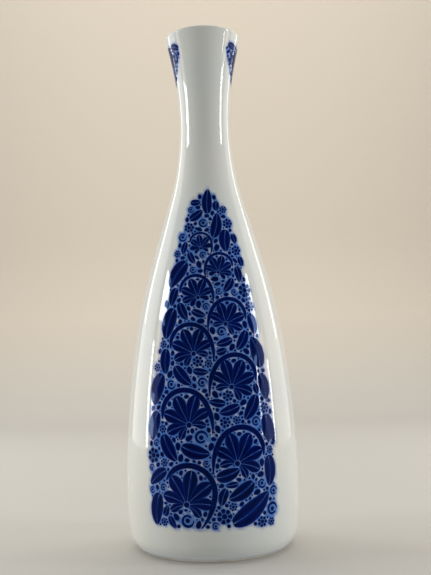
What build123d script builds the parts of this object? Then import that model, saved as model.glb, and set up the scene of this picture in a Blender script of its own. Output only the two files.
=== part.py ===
"""A tall porcelain sake bottle: a hollow cast body, the glaze over it, and four cobalt prints on the glaze.

The origin is at the middle of the foot, with +Z up the bottle and the front print facing -Y.
All sizes are in millimetres.
"""

import os

from build123d import *

# The glazed outside. It is upright at the belly, its widest place, and at the neck, its narrowest.
# Below the belly it steps in to the heel, and from there to the standing ring.
bottle_height = 240.0
belly_radius = 39.45
belly_height = 27.4
heel_step = 1.35
heel_height = 7.5
foot_step = 5.6
neck_radius = 12.05
neck_height = 197.0
lip_radius = 18.2

# Where its arcs meet between those places: (share of the way across, share of the way up).
# Above the last place below the neck the shoulder is straight, until an arc turns it into the neck.
belly_to_neck = [(0.207, 0.409), (0.499, 0.616)]
neck_to_lip = [(0.458, 0.674)]

# The wall and the floor, glaze included, and the standing ring.
wall = 3.4
floor_thickness = 6.0
floor_round = 10.0
lip_round_outside = 0.27  # this and the next are shares of the wall
lip_round_inside = 0.5
foot_ring_width = 3.2
foot_ring_round = 0.6
foot_recess = 2.4
recess_taper = 1.0

# The glaze, which is wiped off the standing ring.
glaze_thickness = 0.3
bare_foot_height = 1.3

# The prints. A print's right-hand edge: (share of the bottle's radius, share of the print's height).
# The sprigs lie on the flare, between two shares of the way up it.
print_thickness = 0.2
panel_above_heel = 6.5
panel_below_neck = 32.0
panel_edge = [(0.64, 0.0), (0.7, 0.03), (0.71, 0.3), (0.66, 0.52), (0.6, 0.76), (0.49, 0.9), (0.33, 0.96)]
sprig_on_flare = (0.43, 0.85)
sprig_edge = [(0.16, 0.0), (0.42, 0.25), (0.66, 0.6), (0.76, 0.9), (0.68, 1.0)]


def places_between(start, end, shares):
    """The (radius, height) places that are some way from the start to the end, across and up."""
    return [
        (start[0] + across * (end[0] - start[0]), start[1] + up * (end[1] - start[1]))
        for across, up in shares
    ]


def arc_chain(start, direction, places):
    """Arcs from place to place, each tangent to the one before it."""
    arcs = []
    for place in places:
        arc = TangentArc(start, place, tangent=direction)
        arcs.append(arc)
        start, direction = arc @ 1, arc % 1
    return arcs


def straight_to_neck(start, direction, neck):
    """A line that stops where an arc tangent to it can end upright at the neck."""
    corner = start + direction * ((start.X - neck[0]) / -direction.X)
    return Line(start, corner - direction * (neck[1] - corner.Y))


belly = (belly_radius, belly_height)
heel = (belly_radius - heel_step, heel_height)
foot = (heel[0] - foot_step, 0)
neck = (neck_radius, neck_height)
lip = (lip_radius, bottle_height)
belly_arcs = arc_chain(belly, (0, 1), places_between(belly, neck, belly_to_neck))
shoulder = straight_to_neck(belly_arcs[-1] @ 1, belly_arcs[-1] % 1, neck)
neck_arcs = arc_chain(shoulder @ 1, shoulder % 1, [neck, *places_between(neck, lip, neck_to_lip), lip])
upper_outline = [*belly_arcs, shoulder, *neck_arcs]
lower_outline = arc_chain(belly, (0, -1), [heel, foot])


def parallel(edge, inset):
    """A line or an arc of the outside, moved into the wall by the inset."""
    ends = []
    for end in (0, 1):
        along = edge % end
        into_wall = Vector(-along.Y, along.X) if along.Y > 0 else Vector(along.Y, -along.X)
        ends.append(edge @ end + into_wall * inset)
    return Line(*ends) if edge is shoulder else TangentArc(*ends, tangent=edge % 0)


def outside_radius(height):
    """The radius of the glazed outside at a height."""
    level = Edge.make_line((0, height), (2 * belly_radius, height))
    for edge in [*lower_outline, *upper_outline]:
        for crossing in edge.find_intersection_points(level):
            return crossing.X


def top_corners(section):
    """The corners at the top of a section, from the axis outwards."""
    return section.vertices().group_by(Axis.Y)[-1].sort_by(Axis.X)


def hollow_bottle(inset):
    """The hollow bottle, with every glazed face moved into the wall by the inset."""
    with BuildPart() as form:
        with BuildSketch(Plane.XZ) as section:
            with BuildLine():
                lower = [parallel(edge, inset) for edge in lower_outline]
                upper = [parallel(edge, inset) for edge in upper_outline]
                hollow = [parallel(edge, wall - inset) for edge in upper_outline]
                above_lip = upper[-1] % 1 * wall
                Polyline(upper[-1] @ 1, upper[-1] @ 1 + above_lip, hollow[-1] @ 1 + above_lip, hollow[-1] @ 1)
                hollow_foot = (heel[0] - wall + inset, floor_thickness - inset)
                TangentArc(hollow[0] @ 0, hollow_foot, tangent=(0, -1))
                standing_edge = lower[-1] @ 1
                recess_radius = foot[0] - foot_ring_width + inset
                Polyline(
                    standing_edge,
                    (recess_radius, standing_edge.Y),
                    (recess_radius - recess_taper, foot_recess + inset),
                    (0, foot_recess + inset),
                    (0, floor_thickness - inset),
                    hollow_foot,
                )
            make_face()
            fillet(section.vertices().sort_by_distance(hollow_foot)[0], floor_round + inset)
            with Locations((0, bottle_height - inset)):
                Rectangle(2 * belly_radius, 2 * wall, align=(Align.CENTER, Align.MIN), mode=Mode.SUBTRACT)
            fillet(top_corners(section)[0], lip_round_inside * wall - inset)
            fillet(top_corners(section)[-1], lip_round_outside * wall - inset)
        revolve(axis=Axis.Z)
    return form.part


def print_outline(bottom, top, right_edge):
    """A print's outline as an upright face, the same on both sides of its middle."""
    with BuildSketch() as outline:
        with BuildLine():
            heights = [bottom + up * (top - bottom) for _, up in right_edge]
            edge = Spline(*[(share * outside_radius(z), z) for z, (share, _) in zip(heights, right_edge)])
            Polyline(edge @ 1, (0, top), (0, bottom), edge @ 0)
        make_face()
        mirror(about=Plane.YZ)
    return outline.sketch


glazed_form = hollow_bottle(0)
biscuit_form = hollow_bottle(glaze_thickness)

# The body is the bottle without its glaze, on a bare standing ring of the full size.
with BuildPart() as bare_foot:
    add(glazed_form)
    split(bisect_by=Plane.XY.offset(bare_foot_height), keep=Keep.BOTTOM)

with BuildPart() as bottle_body:
    add(biscuit_form)
    add(bare_foot.part)
    fillet(bottle_body.edges().group_by(Axis.Z)[0].sort_by(SortBy.RADIUS)[0], foot_ring_round)

# The glaze lies over the outside, the lip and the inside, and in the recess under the foot.
with BuildPart() as all_glaze:
    add(glazed_form)
    split(bisect_by=Plane.XY.offset(bare_foot_height), keep=Keep.TOP)
    add(biscuit_form, mode=Mode.SUBTRACT)
foot_patch, main_coat = all_glaze.solids().sort_by(SortBy.VOLUME)

with BuildPart() as glaze_coat:
    add(main_coat)

with BuildPart() as foot_glaze:
    add(foot_patch)

# The prints are cut from a film that would cover the whole outside.
with BuildPart() as print_film:
    with BuildSketch(Plane.XZ):
        with BuildLine():
            film = [lower_outline[0], *upper_outline]
            over = [parallel(edge, -print_thickness) for edge in film]
            under = [parallel(edge, 0) for edge in film]
            Line(over[0] @ 1, under[0] @ 1)
            Line(over[-1] @ 1, under[-1] @ 1)
        make_face()
    revolve(axis=Axis.Z)

panel = print_outline(heel_height + panel_above_heel, neck_height - panel_below_neck, panel_edge)
sprig_bottom, sprig_top = [neck_height + share * (lip[1] - neck_height) for share in sprig_on_flare]
sprig = print_outline(sprig_bottom, sprig_top, sprig_edge)

with BuildPart() as front_print:
    add(print_film.part)
    with BuildSketch(Plane.front):
        add(panel)
    extrude(amount=2 * belly_radius, mode=Mode.INTERSECT)

with BuildPart() as back_print:
    add(print_film.part)
    with BuildSketch(Plane.back):
        add(panel)
    extrude(amount=2 * belly_radius, mode=Mode.INTERSECT)

with BuildPart() as left_neck_print:
    add(print_film.part)
    with BuildSketch(Plane.left):
        add(sprig)
    extrude(amount=2 * belly_radius, mode=Mode.INTERSECT)

with BuildPart() as right_neck_print:
    add(print_film.part)
    with BuildSketch(Plane.right):
        add(sprig)
    extrude(amount=2 * belly_radius, mode=Mode.INTERSECT)

pieces = {
    "bottle_body": bottle_body,
    "glaze_coat": glaze_coat,
    "foot_glaze": foot_glaze,
    "front_print": front_print,
    "back_print": back_print,
    "left_neck_print": left_neck_print,
    "right_neck_print": right_neck_print,
}
os.makedirs("parts", exist_ok=True)
for name, piece in pieces.items():
    piece.part.label = name
    export_step(piece.part, f"parts/{name}.step")
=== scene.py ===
import math

import bmesh
import bpy
import numpy as np
from mathutils import Matrix, Vector


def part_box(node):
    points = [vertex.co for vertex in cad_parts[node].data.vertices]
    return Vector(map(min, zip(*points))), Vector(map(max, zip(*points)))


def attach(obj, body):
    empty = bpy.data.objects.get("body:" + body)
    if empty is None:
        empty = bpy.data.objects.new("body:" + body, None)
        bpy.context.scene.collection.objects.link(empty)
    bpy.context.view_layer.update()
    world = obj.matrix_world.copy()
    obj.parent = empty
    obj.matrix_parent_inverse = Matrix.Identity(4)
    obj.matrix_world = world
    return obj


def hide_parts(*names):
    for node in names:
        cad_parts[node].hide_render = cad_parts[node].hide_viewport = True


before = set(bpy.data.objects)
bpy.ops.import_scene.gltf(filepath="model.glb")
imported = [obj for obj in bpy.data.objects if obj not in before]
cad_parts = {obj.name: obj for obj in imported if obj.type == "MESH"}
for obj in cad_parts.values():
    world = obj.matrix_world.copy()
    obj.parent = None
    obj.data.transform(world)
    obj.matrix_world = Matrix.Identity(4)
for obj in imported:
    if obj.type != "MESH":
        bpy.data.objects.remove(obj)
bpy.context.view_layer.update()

mm = 0.001


# From a colour of 0 to 255 to linear light.
def srgb(*colour):
    linear = [
        ((c / 255 + 0.055) / 1.055) ** 2.4 if c > 10 else c / 255 / 12.92
        for c in colour
    ]
    return (*linear, 1.0)


# A finish is a material's tree with its shader and its place on the object.
def newFinish(name):
    material = bpy.data.materials.new(name)
    material.use_nodes = True
    tree = material.node_tree
    finish = {"material": material, "tree": tree, "shader": tree.nodes["Principled BSDF"]}
    finish["place"] = addNode(finish, "ShaderNodeTexCoord").outputs["Object"]
    return finish


def feed(finish, socket, value):
    if isinstance(value, bpy.types.NodeSocket):
        finish["tree"].links.new(value, socket)
    else:
        socket.default_value = value


def addNode(finish, kind, inputs=None, **settings):
    node = finish["tree"].nodes.new(kind)
    for key, value in settings.items():
        setattr(node, key, value)
    for key, value in (inputs or {}).items():
        feed(finish, node.inputs[key], value)
    return node


def setShader(finish, values):
    for key, value in values.items():
        feed(finish, finish["shader"].inputs[key], value)


# nearly all of a noise lies between these
noiseSpan = (0.3, 0.7)


def noise(finish, scale, detail):
    inputs = {"Vector": finish["place"], "Scale": scale, "Detail": detail}
    return addNode(finish, "ShaderNodeTexNoise", inputs).outputs["Fac"]


def span(finish, value, low, high, toLow=0.0, toHigh=1.0):
    inputs = {"Value": value, "From Min": low, "From Max": high, "To Min": toLow, "To Max": toHigh}
    return addNode(finish, "ShaderNodeMapRange", inputs).outputs["Result"]


# The mix node has its colours in sockets 6 and 7, and what they make in output 2.
def blend(finish, share, first, second):
    inputs = {0: share, 6: first, 7: second}
    return addNode(finish, "ShaderNodeMix", inputs, data_type="RGBA").outputs[2]


def combine(finish, operation, first, second=0.0):
    inputs = {0: first, 1: second}
    return addNode(finish, "ShaderNodeMath", inputs, operation=operation).outputs[0]


def attribute(finish, name):
    return addNode(finish, "ShaderNodeAttribute", attribute_name=name).outputs["Fac"]


def bump(finish, height, distance, strength):
    inputs = {"Height": height, "Distance": distance, "Strength": strength}
    return addNode(finish, "ShaderNodeBump", inputs).outputs["Normal"]


def meshPiece(name, bm, material, sharpAngle):
    mesh = bpy.data.meshes.new(name)
    bm.to_mesh(mesh)
    bm.free()
    mesh.materials.append(material)
    mesh.polygons.foreach_set("use_smooth", [True] * len(mesh.polygons))
    mesh.set_sharp_from_angle(angle=math.radians(sharpAngle))
    piece = bpy.data.objects.new(name, mesh)
    bpy.context.scene.collection.objects.link(piece)
    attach(piece, "root")
    return piece


def lastVert(made):
    return [v for v in made["geom_last"] if isinstance(v, bmesh.types.BMVert)][0]


# in metres and degrees
view = {
    "place": (0.0, -0.3731, 0.0853),
    "tilt": 5.10,
    "turn": 0.52,
    "roll": -1.38,
    "lens": 49.46,
    "sensor": 36,
    "clip": (0.01, 20),
}


def addCamera():
    data = bpy.data.cameras.new("productCamera")
    data.sensor_width, data.lens = view["sensor"], view["lens"]
    data.clip_start, data.clip_end = view["clip"]
    camera = bpy.data.objects.new("productCamera", data)
    bpy.context.scene.collection.objects.link(camera)
    turned = (
        Matrix.Rotation(math.radians(-view["turn"]), 4, "Z")
        @ Matrix.Rotation(math.radians(90 + view["tilt"]), 4, "X")
        @ Matrix.Rotation(math.radians(view["roll"]), 4, "Z")
    )
    camera.matrix_world = Matrix.Translation(view["place"]) @ turned
    bpy.context.scene.camera = camera


# in metres
studio = {
    "wallPaper": srgb(217, 206, 190),
    "floorPaper": srgb(196, 193, 186),
    "floorToWall": (0.0, 0.15),
    "paperRoughness": 0.9,
    "paperShine": 0.1,
    "halfWidth": 2.2,
    "front": -1.6,
    "wall": 0.95,
    "sweepRadius": 0.3,
    "sweepSteps": 16,
    "wallHeight": 1.8,
    "hollow": 0.006,
    "world": srgb(231, 234, 236),
    "worldLevel": 0.43,
    "windowDistance": 0.8,
    # name: (degrees round from the camera's side, lowest, highest, width, brightness, colour)
    "windows": {
        "leftPane": (-83, 0.35, 0.53, 0.20, 13, (0.95, 0.98, 1.0)),
        "leftCurtain": (-83, 0.03, 0.35, 0.16, 2.4, (1.0, 0.78, 0.68)),
        "leftSill": (-87, 0.04, 0.15, 0.07, 10, (0.97, 0.98, 1.0)),
        "leftStreak": (-95, 0.01, 0.27, 0.05, 14, (0.88, 0.96, 1.0)),
        "leftGap": (-129, 0.25, 0.80, 0.06, 4.4, (1.0, 0.97, 0.88)),
        "leftRoom": (-116, 0.0, 0.90, 0.54, 1.5, (0.97, 0.99, 1.0)),
        "rightPane": (78, 0.30, 0.53, 0.13, 13, (0.97, 0.98, 0.98)),
        "rightCurtain": (82, 0.03, 0.30, 0.20, 2.4, (1.0, 0.82, 0.76)),
        "rightSlitA": (70, 0.05, 0.26, 0.036, 14, (1.0, 0.97, 0.94)),
        "rightSlitB": (82, 0.02, 0.30, 0.044, 14, (0.97, 0.98, 1.0)),
        "rightSlitC": (92, 0.02, 0.22, 0.036, 14, (0.90, 0.96, 1.0)),
        "rightGap": (127, 0.21, 0.80, 0.06, 4.0, (1.0, 0.97, 0.90)),
        "rightRoom": (116, 0.0, 0.90, 0.54, 1.0, (1.0, 0.99, 0.96)),
    },
    # name: (place, aim, width, height, watts, colour)
    "boxes": {
        "topBox": ((0.0, 0.1, 1.5), (0, 0, 0), 1.2, 1.0, 2.2, (1.0, 0.99, 0.97)),
        "wallBox": ((0.0, 0.35, 1.3), (0, 0.95, 0.25), 1.6, 0.5, 6.5, (1.0, 0.98, 0.95)),
    },
}


# One line from the floor's front up to the wall's top, drawn out sideways.
def studioSweep(paper):
    bm = bmesh.new()
    wide, wall, radius = studio["halfWidth"], studio["wall"], studio["sweepRadius"]
    front = bmesh.ops.create_vert(bm, co=(-wide, studio["front"], 0))["vert"][0]
    foot = bmesh.ops.extrude_vert_indiv(bm, verts=[front])["verts"][0]
    foot.co = (-wide, wall - radius, 0)
    curved = bmesh.ops.spin(bm, geom=[foot], cent=(-wide, wall - radius, radius), axis=(1, 0, 0),
                            angle=math.pi / 2, steps=studio["sweepSteps"], use_duplicate=False)
    top = bmesh.ops.extrude_vert_indiv(bm, verts=[lastVert(curved)])["verts"][0]
    top.co = (-wide, wall, studio["wallHeight"])
    drawn = bmesh.ops.extrude_edge_only(bm, edges=bm.edges[:])
    moved = [v for v in drawn["geom"] if isinstance(v, bmesh.types.BMVert)]
    bmesh.ops.translate(bm, verts=moved, vec=(2 * wide, 0, 0))
    bmesh.ops.recalc_face_normals(bm, faces=bm.faces[:])
    if sum(face.normal.z for face in bm.faces) < 0:
        bmesh.ops.reverse_faces(bm, faces=bm.faces[:])
    mesh = bpy.data.meshes.new("studioSweep")
    bm.to_mesh(mesh)
    bm.free()
    mesh.materials.append(paper)
    mesh.polygons.foreach_set("use_smooth", [True] * len(mesh.polygons))
    sweep = bpy.data.objects.new("studioSweep", mesh)
    bpy.context.scene.collection.objects.link(sweep)


def makePaper():
    paper = newFinish("studioPaper")
    height = addNode(paper, "ShaderNodeSeparateXYZ", {"Vector": paper["place"]}).outputs["Z"]
    wallShare = span(paper, height, *studio["floorToWall"])
    setShader(paper, {
        "Base Color": blend(paper, wallShare, studio["floorPaper"], studio["wallPaper"]),
        "Roughness": studio["paperRoughness"],
        "Specular IOR Level": studio["paperShine"],
    })
    # seen from below the floor is clear, and it lets light up into the foot's hollow
    clear = addNode(paper, "ShaderNodeBsdfTransparent").outputs[0]
    behind = addNode(paper, "ShaderNodeNewGeometry").outputs["Backfacing"]
    length = addNode(paper, "ShaderNodeLightPath").outputs["Ray Length"]
    close = combine(paper, "LESS_THAN", length, studio["hollow"])
    seenThrough = combine(paper, "MAXIMUM", behind, close)
    inputs = {0: seenThrough, 1: paper["shader"].outputs[0], 2: clear}
    either = addNode(paper, "ShaderNodeMixShader", inputs)
    feed(paper, paper["tree"].nodes["Material Output"].inputs["Surface"], either.outputs[0])
    return paper["material"]


def addLamp(name, place, aim, width, height, watts, colour):
    data = bpy.data.lights.new(name, "AREA")
    data.shape, data.size, data.size_y = "RECTANGLE", width, height
    data.energy, data.color = watts, colour
    lamp = bpy.data.objects.new(name, data)
    bpy.context.scene.collection.objects.link(lamp)
    lamp.location = place
    lamp.rotation_euler = (Vector(aim) - Vector(place)).to_track_quat("-Z", "Y").to_euler()


def addStudio():
    studioSweep(makePaper())
    for name, (degrees, low, high, width, brightness, colour) in studio["windows"].items():
        side, away, middle = math.radians(degrees), studio["windowDistance"], (low + high) / 2
        place = (away * math.sin(side), -away * math.cos(side), middle)
        watts = brightness * math.pi * width * (high - low)
        addLamp(name, place, (0, 0, middle), width, high - low, watts, colour)
    for name, settings in studio["boxes"].items():
        addLamp(name, *settings)

    world = bpy.data.worlds.new("softRoom")
    world.use_nodes = True
    background = world.node_tree.nodes["Background"]
    background.inputs["Color"].default_value = studio["world"]
    background.inputs["Strength"].default_value = studio["worldLevel"]
    bpy.context.scene.world = world
    bpy.context.scene.view_settings.view_transform = "Standard"


addCamera()
addStudio()
print("camera and studio ready")


# in millimetres: (radius, height), and shares of the way across and up between two places
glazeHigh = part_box("glaze_coat")[1]
bottle = {
    "bellyRadius": glazeHigh.x / mm,
    "bellyHeight": 27.4,
    "heel": (38.10, 7.5),
    "foot": (32.50, 0.0),
    "neck": (12.05, 197.0),
    "lip": (18.2, glazeHigh.z / mm),
    "bellyToNeck": [(0.207, 0.409), (0.499, 0.616)],
    "neckToLip": [(0.458, 0.674)],
    "lipRoundOutside": 0.918,
    "lipRoundInside": 1.7,
    "wall": 3.4,
    "floorCorner": [(35.67, 16.0), (24.97, 6.0)],
    "bareFoot": 1.3,
    "glaze": 0.3,
    "tableSteps": 60,
}
belly = (bottle["bellyRadius"], bottle["bellyHeight"])


def between(start, end, shares):
    (x0, z0), (x1, z1) = start, end
    return [(x0 + across * (x1 - x0), z0 + up * (z1 - z0)) for across, up in shares]


def upright(place):
    return Vector((place[0], 0, place[1]))


# Each arc leaves along the heading and meets the next place.
def tangentArcs(start, heading, places):
    arcs, here = [], upright(start)
    for there in map(upright, places):
        chord = there - here
        axis = heading.cross(chord).normalized()
        angle = 2 * heading.angle(chord)
        middle = here + axis.cross(heading) * (chord.length / (2 * math.sin(angle / 2)))
        arcs.append({"middle": middle, "axis": axis, "angle": angle, "shift": chord})
        heading = Matrix.Rotation(angle, 3, axis) @ heading
        here = there
    return arcs, heading


# A straight shoulder stops where an arc can turn it upright into the neck.
def outlineAboveBelly():
    neck, lip = bottle["neck"], bottle["lip"]
    bellyPlaces = between(belly, neck, bottle["bellyToNeck"])
    arcs, heading = tangentArcs(belly, Vector((0, 0, 1)), bellyPlaces)
    start = upright(bellyPlaces[-1])
    corner = start + heading * ((start.x - neck[0]) / -heading.x)
    end = corner - heading * (neck[1] - corner.z)
    shoulder = {"middle": None, "shift": end - start}
    neckPlaces = [neck, *between(neck, lip, bottle["neckToLip"]), lip]
    return [*arcs, shoulder, *tangentArcs((end.x, end.z), heading, neckPlaces)[0]]


down = Vector((0, 0, -1))
upperOutline = outlineAboveBelly()
lowerOutline = tangentArcs(belly, down, [bottle["heel"], bottle["foot"]])[0]
innerBelly = (belly[0] - bottle["wall"], belly[1])
floorOutline = tangentArcs(innerBelly, down, bottle["floorCorner"])[0]


# The outside's radius at each height, for what is laid on it.
def outsideTable():
    places = []
    shares = [step / bottle["tableSteps"] for step in range(bottle["tableSteps"] + 1)]
    for outline in (lowerOutline, upperOutline):
        here = upright(belly)
        for stretch in outline:
            for share in shares:
                if stretch["middle"] is None:
                    places.append(here + stretch["shift"] * share)
                else:
                    turned = Matrix.Rotation(stretch["angle"] * share, 3, stretch["axis"])
                    places.append(stretch["middle"] + turned @ (here - stretch["middle"]))
            here = here + stretch["shift"]
    places.sort(key=lambda place: place.z)
    return [place.z for place in places], [place.x for place in places]


tableHeights, tableRadii = outsideTable()


def outsideRadius(height):
    return float(np.interp(height, tableHeights, tableRadii))


# in millimetres: x round the bottle from the middle of the print, y up it
panel = {
    "low": 14.3,
    "high": 165,
    # (height, half the width)
    "edge": [(14, 27.6), (17, 29.9), (40, 30.2), (59, 29.8), (76, 27.6), (92, 24.3), (110, 20.9),
             (129, 16.5), (141, 13.2), (150, 10.3), (157, 7.0), (161, 3.2), (165, 0.0)],
    "gap": 0.2,
    "ragged": 2.4,
    # (x, y, radius) of each scroll, from the foot up
    "scrolls": [(-10.4, 29.6, 12.4), (12.6, 45.4, 11.8), (-11.6, 61.6, 11.6), (10.8, 76.8, 10.8),
                (-8.6, 91.0, 10.0), (8.6, 103.0, 8.8), (-5.8, 114.6, 7.8), (5.2, 125.4, 6.8),
                (-3.2, 136.2, 5.6)],
    # (x, y, heading, length, width, bend)
    "leaves": [(8.0, 16.6, 22, 21, 8.4, 26), (2.6, 139.0, 66, 12, 5.0, 30),
               (0.4, 150.4, 96, 12, 4.6, -16)],
    # (length, width, how many at most), largest first
    "fillers": [(19.0, 8.8, 4), (14.0, 7.0, 6), (6.6, 6.6, 8), (10.5, 5.4, 20), (4.8, 4.8, 18),
                (7.4, 4.0, 60), (3.6, 3.6, 30), (4.8, 3.1, 199), (3.6, 2.4, 299), (2.5, 1.8, 299),
                (1.7, 1.7, 199), (1.8, 1.2, 299), (1.05, 1.05, 299), (0.75, 0.75, 399)],
    "headings": 20,
}
sprig = {
    "low": 215.8,
    "high": 233.4,
    "edge": [(215.4, 2.1), (220.0, 6.2), (226.3, 10.6), (231.7, 13.4), (233.8, 12.2)],
    "gap": 0.18,
    "ragged": 0.8,
    "scrolls": [(-5.4, 227.2, 4.8), (5.6, 227.8, 4.6)],
    "leaves": [(0, 216.2, 90, 8.0, 3.6, 0)],
    "fillers": [(6.4, 3.3, 4), (3.4, 3.4, 4), (4.6, 2.5, 20), (3.0, 2.0, 60), (2.0, 1.5, 90),
                (1.3, 1.3, 60), (0.9, 0.9, 90), (0.65, 0.65, 90)],
    "headings": 16,
    # what is above this height on the bottle is in this drawing
    "above": 190,
}
# in millimetres: a cell of a drawing's grid, the grid's margin round the print, how far ink
# may pass the print's edge, and the most that the distance to ink is kept up to
grid = {"cell": 0.25, "margin": 4, "past": 0.4, "reach": 9.0}


# strokes: (path, widths, kind); clear: the distance to the nearest ink; room: to the print's edge
def newDrawing(plan):
    cell, margin = grid["cell"], grid["margin"]
    heights, halves = zip(*plan["edge"])
    half, low = max(halves) + margin, plan["low"] - margin
    xs, ys = np.arange(-half, half + cell, cell), np.arange(low, plan["high"] + margin, cell)
    wide = np.interp(ys, heights, halves, left=-1, right=-1)
    slope = np.gradient(wide, cell)[:, None]
    across = (wide[:, None] - np.abs(xs)[None, :]) / np.sqrt(1 + slope**2)
    room = np.minimum(across, (ys - plan["low"])[:, None]) + grid["past"]
    return {"plan": plan, "strokes": [], "half": half, "low": low, "xs": xs, "ys": ys, "wide": wide,
            "room": room, "clear": np.full(room.shape, grid["reach"])}


def cellAt(drawing, x, y):
    row, column = (y - drawing["low"]) / grid["cell"], (x + drawing["half"]) / grid["cell"]
    return int(round(row)), int(round(column))


def markInk(drawing, x, y, radius):
    reach = grid["reach"] + radius
    i0, i1 = np.searchsorted(drawing["ys"], (y - reach, y + reach))
    j0, j1 = np.searchsorted(drawing["xs"], (x - reach, x + reach))
    away = np.hypot(drawing["xs"][None, j0:j1] - x, drawing["ys"][i0:i1, None] - y) - radius
    drawing["clear"][i0:i1, j0:j1] = np.minimum(drawing["clear"][i0:i1, j0:j1], away)


def isFree(drawing, x, y, radius, gap):
    cell = cellAt(drawing, x, y)
    return drawing["clear"][cell] - gap >= radius and drawing["room"][cell] >= radius


def addStroke(drawing, path, widths, kind):
    drawing["strokes"].append((path, widths, kind))
    for (x, y), width in zip(path, widths):
        markInk(drawing, x, y, width / 2)


def bentLine(x, y, heading, length, bend, points):
    line, step, turn = [(x, y)], length / (points - 1), bend / (points - 1)
    for i in range(points - 1):
        middle = heading + turn * (i + 0.5)
        x, y = x + math.cos(middle) * step, y + math.sin(middle) * step
        line.append((x, y))
    return line


# the motifs: lengths in millimetres, and shares of a motif's own length, width or radius
leafShape = {
    "fattest": 0.42,
    "rootPower": 0.45,
    "tipPower": 0.62,
    "thinnest": 0.06,
    "vein": 0.13,
    "veinedFrom": 2.5,
    "thinnestHalf": 0.05,
    "fewestPoints": 5,
    "longFrom": 2,
    "pace": 0.9,
}


def bladeWidths(points, width):
    widths, fattest = [], leafShape["fattest"]
    for i in range(points):
        share = i / (points - 1)
        if share < fattest:
            swell = math.sin(math.pi / 2 * share / fattest) ** leafShape["rootPower"]
        else:
            narrowing = math.cos(math.pi / 2 * (share - fattest) / (1 - fattest))
            swell = max(0, narrowing) ** leafShape["tipPower"]
        widths.append(max(width * swell, leafShape["thinnest"]))
    return widths


# A wide blade is laid as two halves with a white vein between them, a small one as it is.
def drawBlade(drawing, axis, widths):
    vein = leafShape["vein"]
    if max(widths) < leafShape["veinedFrom"]:
        addStroke(drawing, axis, widths, "leaf")
        return
    halfWidths = [max((wide - vein) / 2, leafShape["thinnestHalf"]) for wide in widths]
    for side in (1, -1):
        half = []
        for i, (x, y) in enumerate(axis):
            (x0, y0), (x1, y1) = axis[max(0, i - 1)], axis[min(len(axis) - 1, i + 1)]
            long, off = math.hypot(x1 - x0, y1 - y0), side * (vein + widths[i]) / 4
            half.append((x - (y1 - y0) / long * off, y + (x1 - x0) / long * off))
        addStroke(drawing, half, halfWidths, "leaf")


def drawLeaf(drawing, x, y, heading, length, width, bend):
    points = leafShape["fewestPoints"]
    if length >= leafShape["longFrom"]:
        points += int(length / leafShape["pace"])
    axis = bentLine(x, y, heading, length, bend, points)
    drawBlade(drawing, axis, bladeWidths(points, width))


blossomShape = {
    "petals": 7,
    "petalPoints": 6,
    "gap": 0.2,
    "dotUnder": 1.4,
    "core": 0.36,
    "roundFrom": 0.4,
    "roundPower": 2.2,
    "thinnest": 0.06,
}


# A small round blossom: a ring of rounded petals round a middle.
def drawBlossom(drawing, x, y, radius):
    if radius < blossomShape["dotUnder"]:
        addStroke(drawing, [(x, y)], [radius * 2], "dot")
        return
    core, gap, petals = radius * blossomShape["core"], blossomShape["gap"], blossomShape["petals"]
    roundFrom, points = blossomShape["roundFrom"], blossomShape["petalPoints"]
    for k in range(petals):
        path, widths, angle = [], [], 2 * math.pi * k / petals
        for i in range(points):
            share = i / (points - 1)
            away = core + gap + (radius - core - gap) * share
            tip = max(0, share - roundFrom) / (1 - roundFrom)
            rounding = math.sqrt(max(0.0, 1 - tip ** blossomShape["roundPower"]))
            width = (2 * math.pi * away / petals - gap) * rounding
            path.append((x + away * math.cos(angle), y + away * math.sin(angle)))
            widths.append(max(blossomShape["thinnest"], width))
        drawing["strokes"].append((path, widths, "leaf"))
    drawing["strokes"].append(([(x, y)], [2 * core], "dot"))
    markInk(drawing, x, y, radius)


palmetteShape = {
    "petals": 7,
    "fan": math.radians(250),
    "rootBack": 0.5,
    "reach": 1.46,
    "outerShorter": 0.055,
    "leaning": 0.86,
    "rootGap": 0.1,
    "petalLength": 0.9,
    "petalBend": 0.2,
    "petalGap": 0.15,
    "fewestPoints": 12,
    "pace": 0.9,
    "pointedFrom": 0.5,
    "pointedPower": 0.55,
    "widest": 0.52,
    "thinnest": 0.06,
    "core": 0.17,
}


# A large blossom seen from the side: petals fanned from its root, the outer ones bent over.
def drawPalmette(drawing, x, y, radius, heading):
    shape = palmetteShape
    back, long = shape["rootBack"] * radius, shape["reach"] * radius
    x, y = x - back * math.cos(heading), y - back * math.sin(heading)
    apart = shape["fan"] / (shape["petals"] - 1)
    for k in range(shape["petals"]):
        side = k - (shape["petals"] - 1) / 2
        length = long * (1 - shape["outerShorter"] * side**2)
        points = max(shape["fewestPoints"], int(length / shape["pace"]))
        angle = heading + side * apart * shape["leaning"]
        off = shape["rootGap"] * long
        first = (x + off * math.cos(angle), y + off * math.sin(angle))
        bend = side * shape["petalBend"]
        axis = bentLine(*first, angle, length * shape["petalLength"], bend, points)
        widths = []
        for i, (px, py) in enumerate(axis):
            tip = max(0, i / (points - 1) - shape["pointedFrom"])
            pointed = math.cos(math.pi / 2 * tip / (1 - shape["pointedFrom"]))
            room = 2 * math.hypot(px - x, py - y) * math.sin(apart / 2) - shape["petalGap"]
            width = min(room, shape["widest"] * length) * max(0, pointed) ** shape["pointedPower"]
            widths.append(max(shape["thinnest"], width))
        drawBlade(drawing, axis, widths)
    addStroke(drawing, [(x, y)], [shape["core"] * long], "dot")


scrollShape = {
    "firstStart": math.radians(-70),
    "vine": 0.19,
    "turns": 0.62,
    "fewestPoints": 16,
    "pointsPerTurn": 5.2,
    "openTurns": 0.17,
    "openReach": 0.34,
    "rootWidth": 0.12,
    "rootTurns": 0.12,
    "rootPower": 0.7,
    "tipWidth": 0.3,
    "tipTurns": 0.1,
    "blossom": 0.98,
    "blossomTurn": math.radians(150),
}


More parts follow.
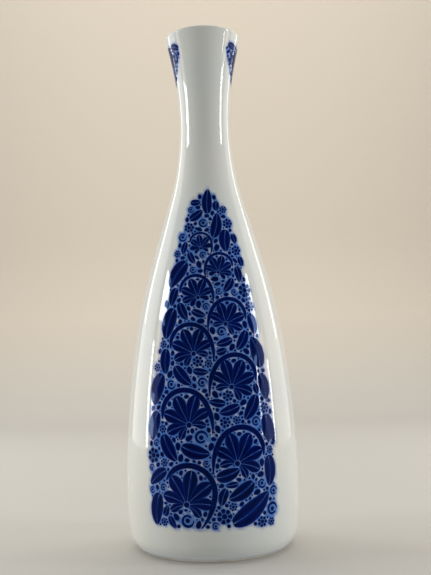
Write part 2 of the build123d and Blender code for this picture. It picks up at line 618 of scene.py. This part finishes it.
# A scroll is a vine that hooks round a blossom.
def drawScroll(drawing, x, y, radius, hand, start):
    shape = scrollShape
    vine, turns = shape["vine"] * radius, shape["turns"]
    blossomHeading = start + hand * shape["blossomTurn"]
    drawPalmette(drawing, x, y, (radius - vine) * shape["blossom"], blossomHeading)
    points = max(shape["fewestPoints"], int(turns * shape["pointsPerTurn"] * radius))
    path, widths = [], []
    for i in range(points):
        turn = turns * i / (points - 1)
        angle = start + hand * 2 * math.pi * turn
        opening = max(0, 1 - turn / shape["openTurns"]) ** 2
        away = radius - vine / 2 + opening * radius * shape["openReach"]
        path.append((x + away * math.cos(angle), y + away * math.sin(angle)))
        root = min(1, shape["rootWidth"] + turn / shape["rootTurns"]) ** shape["rootPower"]
        tip = min(1, shape["tipWidth"] + (turns - turn) / shape["tipTurns"])
        widths.append(vine * root * tip)
    addStroke(drawing, path, widths, "ribbon")


scrollLeafShape = {
    "sizes": (1.15, 0.9, 0.7, 0.5),
    "length": 0.95,
    "width": 0.46,
    "root": 0.18,
    "places": 24,
    "firstTurn": 0.16,
    "heading": math.radians(66),
    "bend": 0.62,
    "points": 9,
    "gap": 0.2,
}


# Leaves that curl off the outside of a scroll, wherever there is room for one.
def drawScrollLeaves(drawing, x, y, radius, hand, start, size):
    shape = scrollLeafShape
    length, width = shape["length"] * radius * size, shape["width"] * radius * size
    root = radius + drawing["plan"]["gap"] + shape["root"] * width
    bend = hand * shape["bend"] * length / (radius + width / 2)
    blade = bladeWidths(shape["points"], width)
    for k in range(shape["places"]):
        angle = start + hand * 2 * math.pi * (shape["firstTurn"] + k / shape["places"])
        heading = angle + hand * shape["heading"]
        first = (x + root * math.cos(angle), y + root * math.sin(angle))
        axis = bentLine(*first, heading, length, bend, shape["points"])
        discs = zip(axis[1:], blade[1:])
        if all(isFree(drawing, *point, wide / 2, shape["gap"]) for point, wide in discs):
            drawLeaf(drawing, *first, heading, length, width, bend)


curlShape = {
    "line": 0.4,
    "points": 20,
    "winds": 5.6,
    "inward": 0.3,
    "startWidth": 0.3,
    "fullFrom": 0.25,
    "thinning": 0.35,
    "core": 0.62,
}


# A small curl: one line that winds in to a dot.
def drawCurl(drawing, x, y, radius, hand):
    shape = curlShape
    line, points, startWidth = shape["line"] * radius, shape["points"], shape["startWidth"]
    path, widths = [], []
    for i in range(points):
        share = i / (points - 1)
        angle = hand * shape["winds"] * share
        away = (radius - line / 2) * (1 - shape["inward"] * share)
        path.append((x + away * math.cos(angle), y + away * math.sin(angle)))
        swell = startWidth + (1 - startWidth) * min(1, share / shape["fullFrom"])
        widths.append(line * swell * (1 - shape["thinning"] * share))
    drawing["strokes"] += [
        (path, widths, "leaf"),
        ([(x, y)], [shape["core"] * radius], "dot"),
    ]
    markInk(drawing, x, y, radius)


filling = {
    "bend": 0.5,
    "bentFrom": 3,
    "smallUnder": 3,
    "pointRule": 2.4,
    "tries": 4000,
    "curlFrom": 2.8,
    "points": 7,
}


# A filler as discs: (along, across, radius). A bent leaf's sag is an eighth of length times bend.
def fillerShape(length, width, bend):
    if length <= width:
        return [(0, 0, width / 2)]
    points, sag, discs = filling["points"], length * bend / 8, []
    blade = bladeWidths(points, width)
    for i in range(1, points - 1):
        share = i / (points - 1)
        across = -sag * (1 - (2 * share - 1) ** 2)
        discs.append(((share - 0.5) * length, across, blade[i] / 2))
    return discs


# How much room a turned filler has at every cell. Below 0 it doesn't fit there.
def roomFor(shape, angle, clear):
    along, up, fit = math.cos(angle), math.sin(angle), None
    for off, out, half in shape:
        right = int(round((off * along - out * up) / grid["cell"]))
        rise = int(round((off * up + out * along) / grid["cell"]))
        here = np.roll(clear, (-rise, -right), (0, 1)) - half
        fit = here if fit is None else np.minimum(fit, here)
    return fit


def fitsAt(drawing, x, y, shape, angle):
    along, up, gap = math.cos(angle), math.sin(angle), drawing["plan"]["gap"]
    for off, out, half in shape:
        middle = (x + off * along - out * up, y + off * up + out * along)
        if not isFree(drawing, *middle, half, gap):
            return False
    return True


# A long filler is a leaf. Every other large round one is a curl, either way about.
def layFiller(drawing, x, y, angle, length, width, bend, laid):
    if length > width:
        root = (x - math.cos(angle) * length / 2, y - math.sin(angle) * length / 2)
        drawLeaf(drawing, *root, angle - bend / 2, length, width, bend)
    elif width > filling["curlFrom"] and laid % 2:
        drawCurl(drawing, x, y, width / 2, 1 if laid % 4 == 1 else -1)
    else:
        drawBlossom(drawing, x, y, width / 2)


# Lays each filler where it fits most tightly, until no more of it fits. Small ones keep off
# the edge, and only small ones go towards the print's point.
def fillGaps(drawing):
    plan, room = drawing["plan"], drawing["room"].copy()
    for length, width, most in plan["fillers"]:
        bend = filling["bend"] if length > filling["bentFrom"] else 0
        shape = fillerShape(length, width, bend)
        if width < filling["smallUnder"]:
            drawing["room"] = room - plan["ragged"] * (1 - width / filling["smallUnder"])
        headings = plan["headings"] if len(shape) > 1 else 1
        laid, fresh = 0, True
        while fresh and laid < most:
            fresh, options = False, []
            clear = np.minimum(drawing["clear"] - plan["gap"], drawing["room"])
            narrow = drawing["wide"][:, None] < filling["pointRule"] * width
            clear = np.where(narrow, -1, clear)
            for k in range(headings):
                angle = 2 * math.pi * k / headings
                fit = roomFor(shape, angle, clear)
                options += [(fit[i, j], i, j, angle) for i, j in np.argwhere(fit >= 0)]
            options.sort()
            for _, i, j, angle in options[:: max(1, len(options) // filling["tries"])]:
                x, y = drawing["xs"][j], drawing["ys"][i]
                if laid < most and fitsAt(drawing, x, y, shape, angle):
                    layFiller(drawing, x, y, angle, length, width, bend, laid)
                    laid, fresh = laid + 1, True
    drawing["room"] = room


def drawPrint(plan):
    drawing = newDrawing(plan)
    for x, y, heading, length, width, bend in plan["leaves"]:
        drawLeaf(drawing, x, y, math.radians(heading), length, width, math.radians(bend))
    before, drawn = None, []
    for x, y, radius in plan["scrolls"]:
        start = scrollShape["firstStart"]
        if before:
            start = math.atan2(before[1] - y, before[0] - x)
        drawn.append((drawing, x, y, radius, 1 if x < 0 else -1, start))
        drawScroll(*drawn[-1])
        before = (x, y)
    for size in scrollLeafShape["sizes"]:
        for scroll in drawn:
            drawScrollLeaves(*scroll, size)
    fillGaps(drawing)
    return drawing


panelDrawing = drawPrint(panel)
sprigDrawing = drawPrint(sprig)
print("prints drawn:", len(panelDrawing["strokes"]), "and", len(sprigDrawing["strokes"]), "strokes")


# noises are (scale, detail); spans are (low, high), then what low and high are turned into
gloss = {
    "ior": 1.5,
    "patches": (35, 3),
    "roughness": (0.025, 0.05),
    "ripples": (42, 1),
    "rippleDepth": 0.0002,
    "rippleStrength": 0.15,
}


def glossAndRipple(finish):
    patches = noise(finish, *gloss["patches"])
    rough = span(finish, patches, *noiseSpan, *gloss["roughness"])
    ripples = noise(finish, *gloss["ripples"])
    setShader(finish, {
        "IOR": gloss["ior"],
        "Roughness": rough,
        "Normal": bump(finish, ripples, gloss["rippleDepth"], gloss["rippleStrength"]),
    })


whiteGlaze = {
    "warm": srgb(226, 225, 216),
    "cool": srgb(216, 220, 217),
    "clouds": (16, 3),
    "cloudSpan": (0.35, 0.65),
    "bled": srgb(36, 106, 192),
    "bledMost": 0.95,
    "speck": srgb(96, 88, 78),
    "speckCells": 62.0,
    "speckSpan": (0.012, 0.022, 0.6, 0.0),
    "speckless": 0.94,
}


def makeWhiteGlaze():
    finish = newFinish("whiteGlaze")
    clouds = span(finish, noise(finish, *whiteGlaze["clouds"]), *whiteGlaze["cloudSpan"])
    colour = blend(finish, clouds, whiteGlaze["warm"], whiteGlaze["cool"])
    # cobalt that has bled into the glaze round the prints
    bloom = attribute(finish, "cobaltBloom")
    bled = combine(finish, "MULTIPLY", bloom, whiteGlaze["bledMost"])
    colour = blend(finish, bled, colour, whiteGlaze["bled"])
    # an iron speck in a few of the cells
    inputs = {"Vector": finish["place"], "Scale": whiteGlaze["speckCells"]}
    cells = addNode(finish, "ShaderNodeTexVoronoi", inputs)
    speck = span(finish, cells.outputs["Distance"], *whiteGlaze["speckSpan"])
    split = addNode(finish, "ShaderNodeSeparateColor", {"Color": cells.outputs["Color"]})
    chosen = combine(finish, "GREATER_THAN", split.outputs["Red"], whiteGlaze["speckless"])
    speck = combine(finish, "MULTIPLY", speck, chosen)
    setShader(finish, {"Base Color": blend(finish, speck, colour, whiteGlaze["speck"])})
    glossAndRipple(finish)
    return finish["material"]


cobaltInk = {
    "deep": srgb(0, 3, 46),
    "thin": srgb(0, 8, 76),
    "pools": (150, 3),
    "combed": srgb(1, 28, 100),
    "combPitch": 1.5,
    "combSpan": (0.2, 0.8, 0.0, 0.7),
    "edge": srgb(2, 40, 134),
    "edgeSpan": (0.0, 0.7, 0.55, 0.0),
    "shine": 0.2,
    "shineTint": (0.16, 0.42, 1.0, 1.0),
}


def makeCobaltInk():
    finish = newFinish("cobaltInk")
    pooled = span(finish, noise(finish, *cobaltInk["pools"]), *noiseSpan)
    colour = blend(finish, pooled, cobaltInk["deep"], cobaltInk["thin"])
    # combed lines across the vines
    run, wave = attribute(finish, "strokeRun"), 2 * math.pi / cobaltInk["combPitch"]
    along = combine(finish, "MULTIPLY", run, wave)
    comb = span(finish, combine(finish, "SINE", along), *cobaltInk["combSpan"])
    comb = combine(finish, "MULTIPLY", comb, attribute(finish, "strokeComb"))
    colour = blend(finish, comb, colour, cobaltInk["combed"])
    edge = span(finish, attribute(finish, "inkDepth"), *cobaltInk["edgeSpan"])
    setShader(finish, {
        "Base Color": blend(finish, edge, colour, cobaltInk["edge"]),
        "Specular IOR Level": cobaltInk["shine"],
        "Specular Tint": cobaltInk["shineTint"],
    })
    glossAndRipple(finish)
    return finish["material"]


biscuit = {
    "light": srgb(222, 215, 202),
    "dark": srgb(206, 198, 184),
    "grains": (2600, 3),
    "grainDepth": 0.00006,
    "grainStrength": 0.5,
    "roughness": (0.62, 0.82),
    "stain": srgb(158, 146, 128),
    "stains": (120, 4),
    "stainSpan": (0.45, 0.8, 0.0, 0.4),
}


def makeBiscuit():
    finish = newFinish("barePorcelain")
    grains = noise(finish, *biscuit["grains"])
    colour = blend(finish, span(finish, grains, *noiseSpan), biscuit["dark"], biscuit["light"])
    stain = span(finish, noise(finish, *biscuit["stains"]), *biscuit["stainSpan"])
    setShader(finish, {
        "Base Color": blend(finish, stain, colour, biscuit["stain"]),
        "Roughness": span(finish, grains, *noiseSpan, *biscuit["roughness"]),
        "Normal": bump(finish, grains, biscuit["grainDepth"], biscuit["grainStrength"]),
    })
    return finish["material"]


whiteGlazeMaterial, cobaltInkMaterial = makeWhiteGlaze(), makeCobaltInk()


# in millimetres: the lengths of the outline's edges, and what the bleed round the ink needs
coat = {
    "lowerStep": 1.2,
    "upperStep": 1.7,
    "outerLipStep": 0.2,
    "innerLipStep": 0.35,
    "insideStep": 4.0,
    "floorStep": 2.0,
    "middleSteps": 4,
    "fewestSteps": 3,
    "around": 160,
    "weld": 0.001,
    "sharpAngle": 60,
    "bloomReach": 1.3,
    "bloomDepth": 0.1,
    "bloomBelow": 238,
}


def lineOn(bm, vert, shift, steps):
    for _ in range(steps):
        further = bmesh.ops.extrude_vert_indiv(bm, verts=[vert])["verts"][0]
        further.co = vert.co + shift / steps
        vert = further
    return vert


# Draws one stretch of the outline on from a vertex, either way along it.
def drawOn(bm, vert, stretch, step, way=1):
    if stretch["middle"] is None:
        steps = max(1, round(stretch["shift"].length / step))
        return lineOn(bm, vert, stretch["shift"] * way, steps)
    length = stretch["angle"] * (vert.co - stretch["middle"]).length
    steps = max(coat["fewestSteps"], round(length / step))
    return lastVert(bmesh.ops.spin(bm, geom=[vert], cent=stretch["middle"], axis=stretch["axis"],
                                   angle=stretch["angle"] * way, steps=steps, use_duplicate=False))


# Rounds a corner of the lip: where the round leaves the wall, its middle, and its angle up to
# the flat top.
def lipCorner(reach, radius, outside):
    middle, top = upperOutline[-1]["middle"], bottle["lip"][1]
    away, height = reach + (radius if outside else -radius), top - radius
    centre = Vector((middle.x - math.sqrt(away**2 - (height - middle.z) ** 2), 0, height))
    leaves = middle + (centre - middle) * (reach / away)
    return leaves, centre, (leaves - centre).angle(Vector((0, 0, 1)))


# The drawing that a point of the outside falls in, and the point's place on it.
def placeInPrint(point):
    angle, height = math.atan2(point.x, -point.y), point.z / mm
    if height < sprig["above"]:
        drawing = panelDrawing
        angle -= 0 if abs(angle) < math.pi / 2 else math.copysign(math.pi, angle)
    else:
        drawing = sprigDrawing
        angle -= math.copysign(math.pi / 2, angle)
    return drawing, angle * math.hypot(point.x, point.y) / mm, height


def bloomAt(point):
    drawing, x, y = placeInPrint(point)
    i, j = cellAt(drawing, x, y)
    if not (0 <= i < len(drawing["ys"]) and 0 <= j < len(drawing["xs"])):
        return 0.0
    return max(0.0, 1 - max(drawing["clear"][i, j], 0) / coat["bloomReach"]) ** 2


# The outline from the belly down to the foot, and up to the lip, over it and back down inside.
def drawCoatOutline(bm):
    start = bmesh.ops.create_vert(bm, co=upright(belly))["vert"][0]
    low = start
    for stretch in lowerOutline:
        low = drawOn(bm, low, stretch, coat["lowerStep"])
    top = start
    for stretch in upperOutline[:-1]:
        top = drawOn(bm, top, stretch, coat["upperStep"])

    flare, back = upperOutline[-1], Vector((0, -1, 0))
    reach = (top.co - flare["middle"]).length
    outer = lipCorner(reach, bottle["lipRoundOutside"], True)
    inner = lipCorner(reach + bottle["wall"], bottle["lipRoundInside"], False)

    def drawFlare(vert, end, way, step):
        angle = (vert.co - flare["middle"]).angle(end - flare["middle"])
        return drawOn(bm, vert, {**flare, "angle": angle}, step, way)

    def drawRound(vert, corner, step):
        return drawOn(bm, vert, {"middle": corner[1], "axis": back, "angle": corner[2]}, step)

    over = drawFlare(top, outer[0], 1, coat["upperStep"])
    over = drawRound(over, outer, coat["outerLipStep"])
    flatEnd = inner[1] + Vector((0, 0, bottle["lipRoundInside"]))
    over = lineOn(bm, over, flatEnd - over.co, 1)
    over = drawRound(over, inner, coat["innerLipStep"])
    outward = (top.co - flare["middle"]) * ((reach + bottle["wall"]) / reach)
    inside = drawFlare(over, flare["middle"] + outward, -1, coat["insideStep"])
    for stretch in reversed(upperOutline[:-1]):
        inside = drawOn(bm, inside, stretch, coat["insideStep"], -1)
    for stretch in floorOutline:
        inside = drawOn(bm, inside, stretch, coat["floorStep"])
    lineOn(bm, inside, Vector((-inside.co.x, 0, 0)), coat["middleSteps"])


def makeGlazeCoat():
    bm = bmesh.new()
    bloom = bm.verts.layers.float.new("cobaltBloom")
    drawCoatOutline(bm)
    bmesh.ops.bisect_plane(bm, geom=bm.verts[:] + bm.edges[:], plane_co=(0, 0, bottle["bareFoot"]),
                           plane_no=(0, 0, 1), clear_inner=True)
    bmesh.ops.scale(bm, verts=bm.verts[:], vec=(mm, mm, mm))
    bmesh.ops.spin(bm, geom=bm.verts[:] + bm.edges[:], cent=(0, 0, 0), axis=(0, 0, 1),
                   angle=2 * math.pi, steps=coat["around"], use_merge=True, use_duplicate=False)
    bmesh.ops.remove_doubles(bm, verts=bm.verts[:], dist=coat["weld"] * mm)
    bmesh.ops.recalc_face_normals(bm, faces=bm.faces[:])
    widest = max(bm.faces, key=lambda face: math.hypot(*face.calc_center_median().xy))
    if widest.normal.dot(widest.calc_center_median()) < 0:
        bmesh.ops.reverse_faces(bm, faces=bm.faces[:])
    for vert in bm.verts:
        radius, height = math.hypot(*vert.co.xy) / mm, vert.co.z / mm
        if radius > outsideRadius(height) - coat["bloomDepth"] and height < coat["bloomBelow"]:
            vert[bloom] = bloomAt(vert.co)
    piece = meshPiece("glazed_outside_and_inside", bm, whiteGlazeMaterial,
                      coat["sharpAngle"])
    thick = piece.modifiers.new("glazeThickness", "SOLIDIFY")
    thick.thickness, thick.offset = bottle["glaze"] * mm, -1
    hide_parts("glaze_coat")
    return piece


glazePiece = makeGlazeCoat()
for name, material in (("bottle_body", makeBiscuit()), ("foot_glaze", whiteGlazeMaterial)):
    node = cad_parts[name]
    node.data.materials.clear()
    node.data.materials.append(material)
print("glaze laid:", len(glazePiece.data.polygons), "faces")


# in millimetres: lift is above the glaze, and over softEdge ink gets from its edge to full
# strength; layers a small step apart keep strokes that cross from lying in one face
ink = {
    "lift": 0.06,
    "layerStep": 0.004,
    "layers": 7,
    "depth": 0.05,
    "softEdge": 0.8,
    "dotEdge": 0.15,
    "dotSides": 12,
    "plainStrips": 2,
    "combedStrips": 6,
    "combFade": 1.5,
    "sharpAngle": 40,
}


def layInk(name, node, drawing, facing):
    bm = bmesh.new()
    layers = ("inkDepth", "strokeRun", "strokeComb")
    depth, run, comb = (bm.verts.layers.float.new(layer) for layer in layers)

    def wrap(verts, lift):
        for vert in verts:
            radius = outsideRadius(vert.co.y)
            angle, away = facing + vert.co.x / radius, radius + lift
            vert.co = Vector((away * math.sin(angle), -away * math.cos(angle), vert.co.y)) * mm

    def layDot(place, width):
        made = bmesh.ops.create_circle(bm, cap_ends=True, cap_tris=True, segments=ink["dotSides"],
                                       radius=width / 2, matrix=Matrix.Translation((*place, 0)))
        for vert in made["verts"]:
            inward = width / 2 - math.dist(vert.co.xy, place)
            vert[depth] = min(1, inward / ink["softEdge"] + ink["dotEdge"])
        return made["verts"]

    def layStrip(path, widths, combed):
        along = len(path) - 1
        across = ink["combedStrips"] if combed else ink["plainStrips"]
        made = bmesh.ops.create_grid(bm, x_segments=along, y_segments=across, size=1.0)
        lengths = [0.0]
        for here, there in zip(path, path[1:]):
            lengths.append(lengths[-1] + math.dist(here, there))
        for vert in made["verts"]:
            i, side = round((vert.co.x + 1) / 2 * along), vert.co.y
            heading = Vector(path[min(i + 1, along)]) - Vector(path[max(i - 1, 0)])
            heading.normalize()
            off = side * widths[i] / 2
            vert[depth] = min(1, (1 - abs(side)) * widths[i] / 2 / ink["softEdge"])
            vert[run] = lengths[i]
            vert[comb] = max(0.0, 1 - abs(side * ink["combFade"])) if combed else 0.0
            vert.co = (path[i][0] - heading.y * off, path[i][1] + heading.x * off, 0)
        return made["verts"]

    for index, (path, widths, kind) in enumerate(drawing["strokes"]):
        if kind == "dot":
            verts = layDot(path[0], widths[0])
        else:
            verts = layStrip(path, widths, kind == "ribbon")
        wrap(verts, ink["lift"] + ink["layerStep"] * (index % ink["layers"]))
    bmesh.ops.recalc_face_normals(bm, faces=bm.faces[:])
    inward = [face for face in bm.faces if face.normal.xy.dot(face.calc_center_median().xy) < 0]
    bmesh.ops.reverse_faces(bm, faces=inward)
    bmesh.ops.solidify(bm, geom=bm.faces[:], thickness=ink["depth"] * mm)
    piece = meshPiece(name, bm, cobaltInkMaterial, ink["sharpAngle"])
    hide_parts(node)
    return piece


prints = [
    layInk("front_scroll_print", "front_print", panelDrawing, 0.0),
    layInk("back_scroll_print", "back_print", panelDrawing, math.pi),
    layInk("right_neck_sprig", "right_neck_print", sprigDrawing, math.pi / 2),
    layInk("left_neck_sprig", "left_neck_print", sprigDrawing, -math.pi / 2),
]
print("ink laid:", [len(piece.data.polygons) for piece in prints], "faces")
